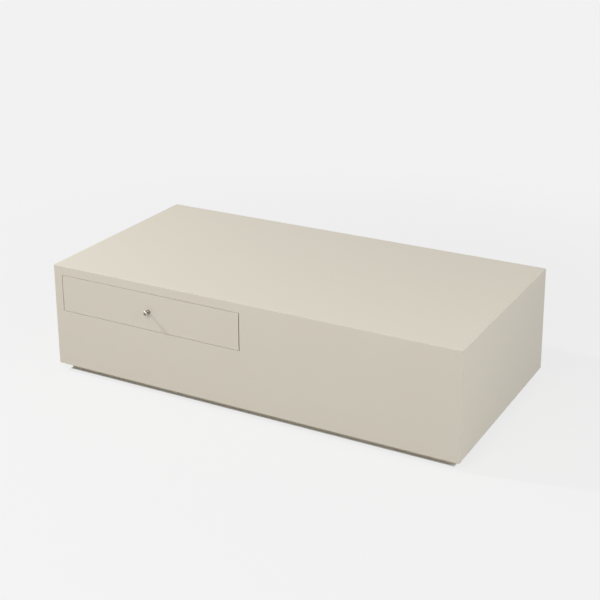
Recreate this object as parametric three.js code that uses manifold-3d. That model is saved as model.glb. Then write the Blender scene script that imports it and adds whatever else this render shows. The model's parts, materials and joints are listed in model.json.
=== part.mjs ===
// A low lacquered coffee table with one drawer, in millimetres, +Z up.
// The origin is on the floor, at the middle of the whole table's footprint with the knob.
// X runs along the table's length and the drawer opens towards -Y.

import * as THREE from 'three';
import * as BufferGeometryUtils from 'three/addons/utils/BufferGeometryUtils.js';
import Module from 'manifold-3d';

const wasm = await Module();
wasm.setup();

// Driving sizes of the table
const tableLength = 1200;
const tableDepth = 600;
const tableHeight = 315;
const plinthHeight = 22;
const plinthSetback = 25;

// Boards of the case
const panelThickness = 26;
const bottomThickness = 18;
const partitionThickness = 18;
const shelfThickness = 16;
const ribThickness = 16;
const arris = 1;
const glueLine = 0.2;

// Drawer front and the gap round it
const drawerFrontLength = 563;
const drawerFrontHeight = 103.5;
const drawerFrontThickness = 20;
const drawerFrontArris = 0.5;
const gapLeft = 1.5;
const gapRight = 2.5;
const gapAbove = 1;
const gapBelow = 1;

// Plinth
const railThickness = 18;
const glueBlockLeg = 40;
const glideHeight = 2;
const glideRadius = 8;
const glideInset = 35;

// Drawer box
const boxBoardThickness = 12;
const boxHeight = 78;
const boxBackClearance = 55;
const tailCount = 3;
const tailSlopeShare = 1 / 7;
const tailShare = 0.6;
const boxBottomThickness = 6;
const boxBottomRise = 10;
const grooveDepth = 6;

// Runners
const runnerThickness = 12.7;
const runnerHeight = 45;
const runnerFrontSetback = 3;
const runnerBackSetback = 17;
const sheet = 1;
const bendRadius = 0.8;
const raceAngle = THREE.MathUtils.degToRad(35);
const racePlay = 0.15;
const outerBallRadius = 1.75;
const innerBallRadius = 1.5;
const ballsPerRow = 8;
const cageLength = 200;
const cageSheet = 0.6;
const cageEnd = 0.9;
const cageTilt = THREE.MathUtils.degToRad(15);
const innerCageReach = 2.7;
const innerCageDrop = 0.1;
const cageWindowHeight = 20;
const cageBridge = 14;
const slotLength = 9;
const slotRadius = 2.2;
const accessHoleLength = 34;
const accessHoleRadius = 7;
const runnerScrewShares = [0.08, 0.5, 0.92];
const runnerSlotShares = [0.22, 0.36, 0.64, 0.78];
const accessHoleShares = [0.08, 0.29, 0.5, 0.71, 0.92];

// Release lever of each runner
const leverLength = 46;
const leverHeight = 7;
const leverTail = 18;
const leverSweep = 4;
const leverThickness = 1.6;
const leverShare = 0.62;

// Knob
const knobProjection = 17;
const knobHeadRadius = 6.6;
const knobNeckRadius = 3.1;
const knobFootRadius = 6.2;
const knobFootThickness = 2.2;
const knobHeadThickness = 7;
const knobRim = 0.6;
const knobFillet = 3;
const knobSocketDepth = 9;
const knobOffset = 3;

// Screws
const screwRadius = 1.7;
const screwHeadRadius = 3.4;
const screwHeadHeight = 1.1;
const screwPoint = 3;
const screwTipShare = 0.2;
const cabinetScrewLength = 16;
const drawerScrewLength = 10;
const frontScrewLength = 26;
const frontScrewInset = 120;
const knobBoltRadius = 2;
const knobBoltHeadRadius = 3.8;
const knobBoltHeadHeight = 2.4;
const knobBoltReach = 7;
const washerRadius = 6;
const washerThickness = 1;

// Clearance of fitted pieces, and the overrun of every cut
const fitGap = 0.2;
const overrun = 5;

// Facets of the round forms
const holeSides = 12;
const screwSides = 10;
const knobSides = 28;
const glideSides = 20;
const ballSides = 6;
const ballRings = 4;
const arcSteps = 4;
const filletSteps = 5;

// Places that follow from the sizes
const innerLeftX = -tableLength / 2 + panelThickness;
const innerRightX = tableLength / 2 - panelThickness;
const innerFrontY = -tableDepth / 2 + panelThickness;
const innerBackY = tableDepth / 2 - panelThickness;
const topUndersideZ = tableHeight - panelThickness;
const bottomTopZ = plinthHeight + bottomThickness;
const bayLength = gapLeft + drawerFrontLength + gapRight;
const bayHeight = gapBelow + drawerFrontHeight + gapAbove;
const frontX = (gapLeft - gapRight) / 2;
const frontZ = (gapBelow - gapAbove) / 2;
const bayRightX = innerLeftX + bayLength;
const bayCentreX = innerLeftX + bayLength / 2;
const bayFloorZ = topUndersideZ - bayHeight;
const drawerCentreZ = topUndersideZ - bayHeight / 2;
const boxLength = bayLength - 2 * runnerThickness;
const boxDepth = tableDepth - panelThickness - drawerFrontThickness - boxBackClearance;
const boxBackY = drawerFrontThickness + boxDepth;
const runnerLength = boxDepth - runnerFrontSetback - runnerBackSetback;
const runnerFrontY = -tableDepth / 2 + drawerFrontThickness + runnerFrontSetback;
const runnerScrewY = runnerScrewShares.map((share) => share * runnerLength);

const table = new THREE.Group();
const caseGroup = new THREE.Group();
caseGroup.position.y = knobProjection / 2;
table.add(caseGroup);

// The finishes, as seen in the photograph or usual inside such a table

const lacquer = () => new THREE.MeshStandardMaterial({ color: 0xdad3c3, roughness: 0.4, metalness: 0 });
const plinthLacquer = () => new THREE.MeshStandardMaterial({ color: 0xb1a898, roughness: 0.4, metalness: 0 });
const board = () => new THREE.MeshStandardMaterial({ color: 0xb89a72, roughness: 0.85, metalness: 0 });
const birch = () => new THREE.MeshStandardMaterial({ color: 0xdbbb8d, roughness: 0.45, metalness: 0 });
const zincSteel = () => new THREE.MeshStandardMaterial({ color: 0xc4c7ca, roughness: 0.35, metalness: 0.9 });
const ballSteel = () => new THREE.MeshStandardMaterial({ color: 0xa6a9ac, roughness: 0.25, metalness: 0.9 });
const screwSteel = () => new THREE.MeshStandardMaterial({ color: 0xbebeb8, roughness: 0.3, metalness: 0.9 });
const nickel = () => new THREE.MeshStandardMaterial({ color: 0xcec9bf, roughness: 0.1, metalness: 1 });
const leverPlastic = () => new THREE.MeshStandardMaterial({ color: 0x1d1e1f, roughness: 0.5, metalness: 0 });
const felt = () => new THREE.MeshStandardMaterial({ color: 0x726a5d, roughness: 0.95, metalness: 0 });

function place(parent, name, geometry, material, x = 0, y = 0, z = 0) {
  const mesh = new THREE.Mesh(geometry, material);
  mesh.name = name;
  mesh.position.set(x, y, z);
  parent.add(mesh);
}

// A board given by its lowest and highest corners
function placeBoard(parent, name, low, high, material) {
  const { size, centre } = span(low, high);
  place(parent, name, new THREE.BoxGeometry(...size), material, ...centre);
}

function boxBetween(low, high) {
  const { size, centre } = span(low, high);
  return new THREE.BoxGeometry(...size).translate(...centre);
}

function span(low, high) {
  return {
    size: high.map((value, i) => value - low[i]),
    centre: high.map((value, i) => (value + low[i]) / 2),
  };
}

// Solids for joins and cuts

function solidOf(geometry) {
  const bare = geometry.clone();
  bare.deleteAttribute('normal');
  bare.deleteAttribute('uv');
  const merged = BufferGeometryUtils.mergeVertices(bare);
  const mesh = new wasm.Mesh({
    numProp: 3,
    vertProperties: new Float32Array(merged.attributes.position.array),
    triVerts: new Uint32Array(merged.index.array),
  });
  return new wasm.Manifold(mesh);
}

function geometryOf(solid) {
  const mesh = solid.getMesh();
  const geometry = new THREE.BufferGeometry();
  geometry.setAttribute('position', new THREE.BufferAttribute(new Float32Array(mesh.vertProperties), 3));
  geometry.setIndex(new THREE.BufferAttribute(new Uint32Array(mesh.triVerts), 1));
  geometry.computeVertexNormals();
  return geometry;
}

function cutFrom(geometry, cutters) {
  let solid = solidOf(geometry);
  for (const cutter of cutters) {
    solid = solid.subtract(solidOf(cutter));
  }
  return geometryOf(solid);
}

function joinTo(geometry, additions) {
  let solid = solidOf(geometry);
  for (const addition of additions) {
    solid = solid.add(solidOf(addition));
  }
  return geometryOf(solid);
}

// Outlines drawn in a plane and run along the third axis

function extrusion(points, length) {
  const shape = new THREE.Shape(points.map(([u, v]) => new THREE.Vector2(u, v)));
  return new THREE.ExtrudeGeometry(shape, { depth: length, bevelEnabled: false, steps: 1 });
}

// Points are (x, z) and the form runs from y to y + length
function alongY(points, y, length) {
  const turn = new THREE.Matrix4().makeBasis(
    new THREE.Vector3(1, 0, 0),
    new THREE.Vector3(0, 0, 1),
    new THREE.Vector3(0, -1, 0),
  );
  return extrusion(points, length).applyMatrix4(turn).translate(0, y + length, 0);
}

// Points are (y, z) and the form runs from x to x + length
function alongX(points, x, length) {
  const turn = new THREE.Matrix4().makeBasis(
    new THREE.Vector3(0, 1, 0),
    new THREE.Vector3(0, 0, 1),
    new THREE.Vector3(1, 0, 0),
  );
  return extrusion(points, length).applyMatrix4(turn).translate(x, 0, 0);
}

// Points are (x, y) and the form runs from z to z + length
function alongZ(points, z, length) {
  return extrusion(points, length).translate(0, 0, z);
}

function rectangle(u0, v0, u1, v1) {
  return [[u0, v0], [u1, v0], [u1, v1], [u0, v1]];
}

function easedRectangle(u0, v0, u1, v1, ease) {
  return [
    [u0 + ease, v0], [u1 - ease, v0], [u1, v0 + ease], [u1, v1 - ease],
    [u1 - ease, v1], [u0 + ease, v1], [u0, v1 - ease], [u0, v0 + ease],
  ];
}

// An obround hole through a web that faces X, with its long side along Y
function slotCutter(y, length, radius, x0, x1) {
  const points = [];
  const halfStraight = length / 2 - radius;
  for (const side of [1, -1]) {
    for (let i = 0; i <= holeSides / 2; i += 1) {
      const angle = -Math.PI / 2 + (Math.PI * i) / (holeSides / 2);
      points.push([y + side * (halfStraight + radius * Math.cos(angle)), side * radius * Math.sin(angle)]);
    }
  }
  return alongX(points, x0, x1 - x0);
}

function roundCutterX(x0, x1, y, z, radius) {
  const cylinder = new THREE.CylinderGeometry(radius, radius, x1 - x0, holeSides);
  return cylinder.rotateZ(Math.PI / 2).translate((x0 + x1) / 2, y, z);
}

function roundCutterY(x, y0, y1, z, radius) {
  const cylinder = new THREE.CylinderGeometry(radius, radius, y1 - y0, holeSides);
  return cylinder.translate(x, (y0 + y1) / 2, z);
}

// The case is one eased block in outline: every lacquered panel is that block within its own bounds

function easedBlock([x0, y0, z0], [x1, y1, z1], ease) {
  const fromFront = alongY(easedRectangle(x0, z0, x1, z1, ease), y0, y1 - y0);
  const fromSide = alongX(easedRectangle(y0, z0, y1, z1, ease), x0, x1 - x0);
  const fromAbove = alongZ(easedRectangle(x0, y0, x1, y1, ease), z0, z1 - z0);
  return solidOf(fromFront).intersect(solidOf(fromSide)).intersect(solidOf(fromAbove));
}

const block = easedBlock(
  [-tableLength / 2, -tableDepth / 2, plinthHeight],
  [tableLength / 2, tableDepth / 2, tableHeight],
  arris,
);

function easedPanel(bounds, cutters = []) {
  let solid = block.intersect(solidOf(bounds));
  for (const cutter of cutters) {
    solid = solid.subtract(solidOf(cutter));
  }
  return geometryOf(solid);
}

// The top is mitred to the ends, with half of the glue line on each side of the mitre
function addTopPanel() {
  const half = tableLength / 2;
  const mitreSlip = (glueLine / 2) * Math.SQRT2;
  const outline = [
    [-half - overrun + mitreSlip, tableHeight + overrun],
    [innerLeftX + mitreSlip, topUndersideZ],
    [innerRightX - mitreSlip, topUndersideZ],
    [half + overrun - mitreSlip, tableHeight + overrun],
  ];
  place(caseGroup, 'top_panel', easedPanel(alongY(outline, -tableDepth / 2, tableDepth)), lacquer());
}

function addEndPanel(name, side, cutters) {
  const outer = side * (tableLength / 2 + overrun);
  const inner = side * innerRightX;
  const mitreSlip = (glueLine / 2) * Math.SQRT2;
  const outline = [
    [outer, plinthHeight],
    [outer, tableHeight + overrun - mitreSlip],
    [inner, topUndersideZ - mitreSlip],
    [inner, plinthHeight],
  ];
  const bounds = alongY(outline, -tableDepth / 2, tableDepth);
  place(caseGroup, name, easedPanel(bounds, cutters), lacquer());
}

function addFrontPanel() {
  const outline = [
    [innerLeftX, plinthHeight],
    [innerRightX, plinthHeight],
    [innerRightX, topUndersideZ],
    [bayRightX, topUndersideZ],
    [bayRightX, bayFloorZ],
    [innerLeftX, bayFloorZ],
  ];
  const bounds = alongY(outline, -tableDepth / 2, panelThickness);
  place(caseGroup, 'front_panel', easedPanel(bounds), lacquer());
}

function addBackPanel() {
  const outline = rectangle(innerLeftX, plinthHeight, innerRightX, topUndersideZ);
  const bounds = alongY(outline, innerBackY, panelThickness);
  place(caseGroup, 'back_panel', easedPanel(bounds), lacquer());
}

// Boards inside the case

function addPartition(cutters) {
  const bounds = boxBetween(
    [bayRightX, innerFrontY, bottomTopZ],
    [bayRightX + partitionThickness, innerBackY, topUndersideZ],
  );
  place(caseGroup, 'drawer_partition', cutFrom(bounds, cutters), board());
}

function addInnerBoards() {
  placeBoard(caseGroup, 'bottom_panel',
    [innerLeftX, innerFrontY, plinthHeight],
    [innerRightX, innerBackY, bottomTopZ], board());
  placeBoard(caseGroup, 'drawer_shelf',
    [innerLeftX, innerFrontY, bayFloorZ - shelfThickness],
    [bayRightX, innerBackY, bayFloorZ], board());
  const ribX = (bayRightX + partitionThickness + innerRightX) / 2;
  placeBoard(caseGroup, 'support_rib',
    [ribX - ribThickness / 2, innerFrontY, bottomTopZ],
    [ribX + ribThickness / 2, innerBackY, topUndersideZ], board());
}

// The plinth is a low frame set back all round, on glides

function addPlinth() {
  const halfLength = tableLength / 2 - plinthSetback;
  const halfDepth = tableDepth / 2 - plinthSetback;
  const innerHalfLength = halfLength - railThickness;
  const innerHalfDepth = halfDepth - railThickness;
  const low = glideHeight;
  const high = plinthHeight;
  placeBoard(caseGroup, 'plinth_front_rail',
    [-halfLength, -halfDepth, low], [halfLength, -innerHalfDepth, high], plinthLacquer());
  placeBoard(caseGroup, 'plinth_back_rail',
    [-halfLength, innerHalfDepth, low], [halfLength, halfDepth, high], plinthLacquer());
  placeBoard(caseGroup, 'plinth_left_rail',
    [-halfLength, -innerHalfDepth, low], [-innerHalfLength, innerHalfDepth, high], plinthLacquer());
  placeBoard(caseGroup, 'plinth_right_rail',
    [innerHalfLength, -innerHalfDepth, low], [halfLength, innerHalfDepth, high], plinthLacquer());
  placeBoard(caseGroup, 'plinth_centre_rail',
    [-railThickness / 2, -innerHalfDepth, low], [railThickness / 2, innerHalfDepth, high], board());
  for (const [endName, sideX] of [['left', -1], ['right', 1]]) {
    for (const [faceName, sideY] of [['front', -1], ['back', 1]]) {
      const outline = [[0, 0], [-sideX * glueBlockLeg, 0], [0, -sideY * glueBlockLeg]];
      place(caseGroup, `${faceName}_${endName}_glue_block`, alongZ(outline, 0, high - low), board(),
        sideX * innerHalfLength, sideY * innerHalfDepth, low);
    }
  }
  const glideX = halfLength - glideInset;
  for (const [placeName, x] of [['left', -glideX], ['centre', 0], ['right', glideX]]) {
    for (const [faceName, sideY] of [['front', -1], ['back', 1]]) {
      const disc = new THREE.CylinderGeometry(glideRadius, glideRadius, glideHeight, glideSides);
      place(caseGroup, `${faceName}_${placeName}_glide`, disc.rotateX(Math.PI / 2), felt(),
        x, sideY * (halfDepth - railThickness / 2), glideHeight / 2);
    }
  }
}

// Runner profiles are bent strips: a centre-line from the web up to the lip, mirrored below.
// X leaves the wall that carries the runner, and the balls of both pairs lie above the webs.

const outerRace = outerBallRadius + racePlay + sheet / 2;
const innerRace = innerBallRadius + racePlay + sheet / 2;
const raceSine = Math.sin(raceAngle);
const raceCosine = Math.cos(raceAngle);
const drawerWebX = runnerThickness - sheet / 2;
const cabinetWebX = sheet / 2;
const innerBallX = drawerWebX - bendRadius - raceSine * (innerRace + bendRadius);
const outerBallX = innerBallX - raceSine * (outerRace + innerRace);
const outerBallZ = runnerHeight / 2 - sheet / 2 - outerRace;
const innerBallZ = outerBallZ - raceCosine * (outerRace + innerRace);
const ridgeX = outerBallX - raceSine * (outerRace + bendRadius);
const ridgeZ = outerBallZ - raceCosine * (outerRace + bendRadius);
const middleWebX = ridgeX - bendRadius;
const quarter = Math.PI / 2;

// Points on an arc, counted anticlockwise from +X
function arcPoints(x, z, radius, from, to) {
  const points = [];
  for (let i = 0; i <= arcSteps; i += 1) {
    const angle = from + ((to - from) * i) / arcSteps;
    points.push([x + radius * Math.cos(angle), z + radius * Math.sin(angle)]);
  }
  return points;
}

// The closed outline of a strip of even thickness whose centre-line is given above the middle
function stripOutline(upperPath, thickness) {
  const lowerPath = upperPath.map(([x, z]) => [x, -z]).reverse();
  const path = lowerPath.concat(upperPath).map(([x, z]) => new THREE.Vector2(x, z));
  const left = [];
  const right = [];
  path.forEach((point, i) => {
    const before = path[Math.max(i - 1, 0)];
    const after = path[Math.min(i + 1, path.length - 1)];
    const arriving = (i > 0 ? point.clone().sub(before) : after.clone().sub(point)).normalize();
    const leaving = (i < path.length - 1 ? after.clone().sub(point) : point.clone().sub(before)).normalize();
    const normalIn = new THREE.Vector2(-arriving.y, arriving.x);
    const normalOut = new THREE.Vector2(-leaving.y, leaving.x);
    const middle = normalIn.clone().add(normalOut).normalize();
    const reach = thickness / 2 / middle.dot(normalIn);
    left.push([point.x + middle.x * reach, point.y + middle.y * reach]);
    right.push([point.x - middle.x * reach, point.y - middle.y * reach]);
  });
  return right.concat(left.reverse());
}

function cabinetPath() {
  const race = arcPoints(outerBallX, outerBallZ, outerRace, quarter + raceAngle, quarter - raceAngle);
  const bendX = cabinetWebX + bendRadius;
  const shoulderRun = race[0][0] - (bendX - bendRadius * raceSine);
  const bendZ = race[0][1] - shoulderRun * Math.tan(raceAngle) - bendRadius * raceCosine;
  return arcPoints(bendX, bendZ, bendRadius, Math.PI, quarter + raceAngle).concat(race);
}

function middlePath() {
  const ridge = arcPoints(ridgeX, ridgeZ, bendRadius, Math.PI, quarter - raceAngle);
  const below = arcPoints(outerBallX, outerBallZ, outerRace, -quarter - raceAngle, -quarter + raceAngle);
  const above = arcPoints(innerBallX, innerBallZ, innerRace, quarter + raceAngle, quarter - raceAngle);
  return ridge.concat(below.slice(1), above.slice(1));
}

function drawerPath() {
  const below = arcPoints(innerBallX, innerBallZ, innerRace, -quarter - raceAngle, -quarter + raceAngle);
  const bendX = drawerWebX - bendRadius;
  const bendZ = innerBallZ - raceCosine * (innerRace + bendRadius);
  const bend = arcPoints(bendX, bendZ, bendRadius, quarter + raceAngle, 0);
  return bend.reverse().concat(below.reverse().slice(1));
}

// The outer cage runs round the middle member's ridge, half-way to the cabinet member
function outerCagePath() {
  const shoulder = cabinetPath();
  const raceStart = shoulder[arcSteps + 1];
  const toShoulder = (raceStart[1] - ridgeZ) * raceCosine - (raceStart[0] - ridgeX) * raceSine - sheet / 2;
  const radius = (bendRadius + sheet / 2 + toShoulder) / 2;
  const bend = arcPoints(ridgeX, ridgeZ, radius, Math.PI, quarter + cageTilt);
  const [x, z] = bend[arcSteps];
  const run = outerBallX + cageEnd - x;
  return bend.concat([[x + run, z + run * Math.tan(cageTilt)]]);
}

// The inner cage drops past the open edge of the drawer member
function innerCagePath() {
  const webX = innerBallX - innerCageReach;
  const levelZ = innerBallZ - innerCageDrop;
  const bend = arcPoints(webX + bendRadius, levelZ - bendRadius, bendRadius, Math.PI, quarter);
  return bend.concat([[innerBallX + cageEnd, levelZ]]);
}

function runnerMember(path, cutters) {
  return cutFrom(alongY(stripOutline(path, sheet), 0, runnerLength), cutters);
}

function webHoles(webX) {
  const x0 = webX - sheet / 2 - overrun;
  const x1 = webX + sheet / 2 + overrun;
  const round = runnerScrewShares.map((share) =>
    roundCutterX(x0, x1, share * runnerLength, 0, screwRadius + fitGap));
  const slots = runnerSlotShares.map((share) =>
    slotCutter(share * runnerLength, slotLength, slotRadius, x0, x1));
  return round.concat(slots);
}

function accessHoles() {
  const x0 = middleWebX - sheet;
  const x1 = middleWebX + sheet;
  return accessHoleShares.map((share) =>
    slotCutter(share * runnerLength, accessHoleLength, accessHoleRadius, x0, x1));
}

// A cage is one strip with windows in its web, and its balls are held in both lips
function ballCage(path, ballX, ballZ, ballRadius) {
  const strip = alongY(stripOutline(path, cageSheet), 0, cageLength);
  const webX = path[0][0];
  const windowLength = (cageLength - 3 * cageBridge) / 2;
  const windows = [0, 1].map((i) => {
    const y = cageBridge + i * (windowLength + cageBridge);
    return boxBetween(
      [webX - cageSheet, y, -cageWindowHeight / 2],
      [webX + cageSheet, y + windowLength, cageWindowHeight / 2],
    );
  });
  const balls = [];
  for (const side of [1, -1]) {
    for (let i = 0; i < ballsPerRow; i += 1) {
      const y = (cageLength * (i + 1 / 2)) / ballsPerRow;
      const ball = new THREE.SphereGeometry(ballRadius, ballSides, ballRings);
      balls.push(ball.rotateX(quarter).translate(ballX, y, side * ballZ));
    }
  }
  return joinTo(cutFrom(strip, windows), balls);
}

// A screw points along +Y from under its low head
function screwGeometry({ radius, headRadius, headHeight, length, point }) {
  const profile = [
    [0, -headHeight],
    [headRadius - headHeight / 2, -headHeight],
    [headRadius, -headHeight / 2],
    [headRadius, 0],
    [radius, 0],
    [radius, length - point],
    [radius * screwTipShare, length],
    [0, length],
  ];
  return new THREE.LatheGeometry(profile.map(([r, y]) => new THREE.Vector2(r, y)), screwSides);
}

const woodScrew = {
  radius: screwRadius,
  headRadius: screwHeadRadius,
  headHeight: screwHeadHeight,
  point: screwPoint,
};

function addRunner(side, x, turn) {
  const runner = new THREE.Group();
  runner.position.set(x, runnerFrontY, drawerCentreZ);
  runner.rotation.y = turn;
  caseGroup.add(runner);
  const cageY = (runnerLength - cageLength) / 2;
  place(runner, `${side}_cabinet_runner`, runnerMember(cabinetPath(), webHoles(cabinetWebX)), zincSteel());
  place(runner, `${side}_middle_runner`, runnerMember(middlePath(), accessHoles()), zincSteel());
  place(runner, `${side}_drawer_runner`, runnerMember(drawerPath(), webHoles(drawerWebX)), zincSteel());
  place(runner, `${side}_outer_ball_cage`,
    ballCage(outerCagePath(), outerBallX, outerBallZ, outerBallRadius), ballSteel(), 0, cageY, 0);
  place(runner, `${side}_inner_ball_cage`,
    ballCage(innerCagePath(), innerBallX, innerBallZ, innerBallRadius), ballSteel(), 0, cageY, 0);
  runnerScrewY.forEach((y, i) => {
    const cabinetScrew = screwGeometry({ ...woodScrew, length: cabinetScrewLength }).rotateZ(quarter);
    place(runner, `${side}_cabinet_screw_${i + 1}`, cabinetScrew, screwSteel(), sheet + fitGap, y, 0);
    const drawerScrew = screwGeometry({ ...woodScrew, length: drawerScrewLength }).rotateZ(-quarter);
    place(runner, `${side}_drawer_screw_${i + 1}`, drawerScrew, screwSteel(),
      runnerThickness - sheet - fitGap, y, 0);
  });
  place(runner, `${side}_release_lever`, releaseLever(), leverPlastic(), 0, leverShare * runnerLength, 0);
}

// A curved plastic tongue on the drawer member's web
function releaseLever() {
  const top = new THREE.CubicBezierCurve(
    new THREE.Vector2(0, leverHeight / 2),
    new THREE.Vector2(leverTail, leverHeight / 2),
    new THREE.Vector2(leverTail, leverHeight / 2 + leverSweep),
    new THREE.Vector2(leverLength, leverHeight / 2 + leverSweep),
  ).getPoints(filletSteps);
  const outline = [[0, -leverHeight / 2], [leverTail, -leverHeight / 2], [leverLength, leverSweep]]
    .concat(top.reverse().map((point) => [point.x, point.y]));
  return alongX(outline, runnerThickness - sheet - fitGap - leverThickness, leverThickness);
}

// Drawer box: tails on the sides, and sockets for them in the inner front and the back

const drawer = new THREE.Group();
drawer.position.set(bayCentreX, -tableDepth / 2, drawerCentreZ);
caseGroup.add(drawer);

const boxFrontY = drawerFrontThickness;
const knobX = frontX + knobOffset;
const runnerInDrawerY = drawerFrontThickness + runnerFrontSetback;
const boxSideX = boxLength / 2;
const tailPitch = boxHeight / tailCount;

// One tail flares from its root to its end, and a positive gap makes the socket
function tailForm(x, z, rootY, endY, gap) {
  const rootHalf = (tailPitch * tailShare) / 2 + gap;
  const endHalf = rootHalf + boxBoardThickness * tailSlopeShare;
  const outline = [[rootY, z - rootHalf], [endY, z - endHalf], [endY, z + endHalf], [rootY, z + rootHalf]];
  const ordered = endY > rootY ? outline : outline.reverse();
  return alongX(ordered, x, boxBoardThickness);
}

function tailHeights() {
  return Array.from({ length: tailCount }, (_, i) => -boxHeight / 2 + tailPitch * (i + 1 / 2));
}

function tailsAt(x, gap) {
  const frontRoot = boxFrontY + boxBoardThickness;
  const backRoot = boxBackY - boxBoardThickness;
  return tailHeights().flatMap((z) => [
    tailForm(x, z, frontRoot, boxFrontY, gap),
    tailForm(x, z, backRoot, boxBackY, gap),
  ]);
}

function boxBottom(gap) {
  const halfLength = boxSideX - boxBoardThickness + grooveDepth - fitGap + gap;
  const lowZ = -boxHeight / 2 + boxBottomRise;
  return boxBetween(
    [-halfLength, boxFrontY + boxBoardThickness - grooveDepth + fitGap - gap, lowZ - gap],
    [halfLength, boxBackY - boxBoardThickness + grooveDepth - fitGap + gap, lowZ + boxBottomThickness + gap],
  );
}

function addBoxSide(name, x, outerX, inward) {
  const body = boxBetween(
    [x, boxFrontY + boxBoardThickness, -boxHeight / 2],
    [x + boxBoardThickness, boxBackY - boxBoardThickness, boxHeight / 2],
  );
  const ends = [outerX - inward * overrun, outerX + inward * drawerScrewLength];
  const pilots = runnerScrewY.map((y) => roundCutterX(
    Math.min(...ends), Math.max(...ends), runnerInDrawerY + y, 0, screwRadius + fitGap));
  place(drawer, name, cutFrom(joinTo(body, tailsAt(x, 0)), [...pilots, boxBottom(fitGap)]), birch());
}

function addBoxEnd(name, y, cutters) {
  const body = boxBetween([-boxSideX, y, -boxHeight / 2], [boxSideX, y + boxBoardThickness, boxHeight / 2]);
  const sockets = [...tailsAt(-boxSideX, fitGap), ...tailsAt(boxSideX - boxBoardThickness, fitGap)];
  place(drawer, name, cutFrom(body, [...sockets, boxBottom(fitGap), ...cutters]), birch());
}

// Holes that the knob bolt and the two front screws pass through
function frontHoles(y0, y1) {
  const insideY = boxFrontY + boxBoardThickness;
  const bolt = roundCutterY(knobX, -overrun, insideY + overrun, frontZ, knobBoltRadius + fitGap);
  const screws = [-1, 1].map((side) =>
    roundCutterY(frontX + side * frontScrewInset, y0, y1, frontZ, screwRadius + fitGap));
  return [bolt, ...screws];
}

// The front hangs in the middle of its gaps, beside the middle of the box
function addDrawerFront() {
  const halfLength = drawerFrontLength / 2;
  const halfHeight = drawerFrontHeight / 2;
  const body = easedBlock(
    [frontX - halfLength, 0, frontZ - halfHeight],
    [frontX + halfLength, drawerFrontThickness, frontZ + halfHeight],
    drawerFrontArris,
  );
  const screwEnd = boxFrontY + boxBoardThickness - frontScrewLength;
  const holes = frontHoles(screwEnd, boxFrontY + overrun);
  place(drawer, 'drawer_front', cutFrom(geometryOf(body), holes), lacquer());
}

// A turned knob: foot, hollow neck and a lens-shaped head, turned about the line of its bolt.
// It sits a little to the right of the front's middle, and its washer and bolt with it.
function knobGeometry() {
  const footTop = knobFootRadius - knobRim;
  const headHalf = knobHeadThickness / 2;
  const headCentre = knobProjection - headHalf;
  const headStart = -Math.acos(knobNeckRadius / knobHeadRadius);
  const profile = [[0, 0], [knobFootRadius, 0], [knobFootRadius, knobFootThickness - knobRim]];
  for (let i = 0; i <= filletSteps; i += 1) {
    const angle = (quarter * i) / filletSteps;
    profile.push([
      knobNeckRadius + (footTop - knobNeckRadius) * (1 - Math.sin(angle)),
      knobFootThickness + knobFillet * (1 - Math.cos(angle)),
    ]);
  }
  for (let i = 0; i <= 2 * filletSteps; i += 1) {
    const angle = headStart + ((quarter - headStart) * i) / (2 * filletSteps);
    profile.push([
      i < 2 * filletSteps ? knobHeadRadius * Math.cos(angle) : 0,
      headCentre + headHalf * Math.sin(angle),
    ]);
  }
  const turned = new THREE.LatheGeometry(profile.map(([r, y]) => new THREE.Vector2(r, y)), knobSides);
  return cutFrom(turned, [roundCutterY(0, -overrun, knobSocketDepth, 0, knobBoltRadius + fitGap)]);
}

function addKnob() {
  place(drawer, 'drawer_knob', knobGeometry().rotateX(Math.PI), nickel(), knobX, 0, frontZ);
  const insideY = boxFrontY + boxBoardThickness;
  const hole = knobBoltRadius + fitGap;
  const ring = [...rectangle(hole, 0, washerRadius, washerThickness), [hole, 0]]
    .map(([r, y]) => new THREE.Vector2(r, y));
  const washer = new THREE.LatheGeometry(ring, screwSides);
  place(drawer, 'knob_washer', washer, screwSteel(), knobX, insideY, frontZ);
  const bolt = screwGeometry({
    radius: knobBoltRadius,
    headRadius: knobBoltHeadRadius,
    headHeight: knobBoltHeadHeight,
    length: insideY + washerThickness + knobBoltReach,
    point: knobRim,
  });
  place(drawer, 'knob_bolt', bolt.rotateX(Math.PI), screwSteel(), knobX, insideY + washerThickness, frontZ);
  for (const [side, sign] of [['left', -1], ['right', 1]]) {
    const screw = screwGeometry({ ...woodScrew, length: frontScrewLength }).rotateX(Math.PI);
    const x = frontX + sign * frontScrewInset;
    place(drawer, `${side}_front_screw`, screw, screwSteel(), x, insideY, frontZ);
  }
}

function addDrawerBox() {
  addBoxSide('drawer_left_side', -boxSideX, -boxSideX, 1);
  addBoxSide('drawer_right_side', boxSideX - boxBoardThickness, boxSideX, -1);
  addBoxEnd('drawer_inner_front', boxFrontY, frontHoles(-overrun, boxFrontY + boxBoardThickness + overrun));
  addBoxEnd('drawer_back', boxBackY - boxBoardThickness, []);
  place(drawer, 'drawer_bottom', boxBottom(0), birch());
}

// Pilot holes for the runners' screws in the wall at x, bored along the sign of x given
function runnerPilots(x, sign) {
  const ends = [x - sign * overrun, x + sign * cabinetScrewLength];
  return runnerScrewY.map((y) => roundCutterX(
    Math.min(...ends), Math.max(...ends), runnerFrontY + y, drawerCentreZ, screwRadius + fitGap));
}

addTopPanel();
addEndPanel('left_end_panel', -1, runnerPilots(innerLeftX, -1));
addEndPanel('right_end_panel', 1, []);
addFrontPanel();
addBackPanel();
addPartition(runnerPilots(bayRightX, 1));
addInnerBoards();
addPlinth();
addDrawerFront();
addDrawerBox();
addKnob();
addRunner('left', innerLeftX, 0);
addRunner('right', bayRightX, Math.PI);

export default table;
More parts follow.
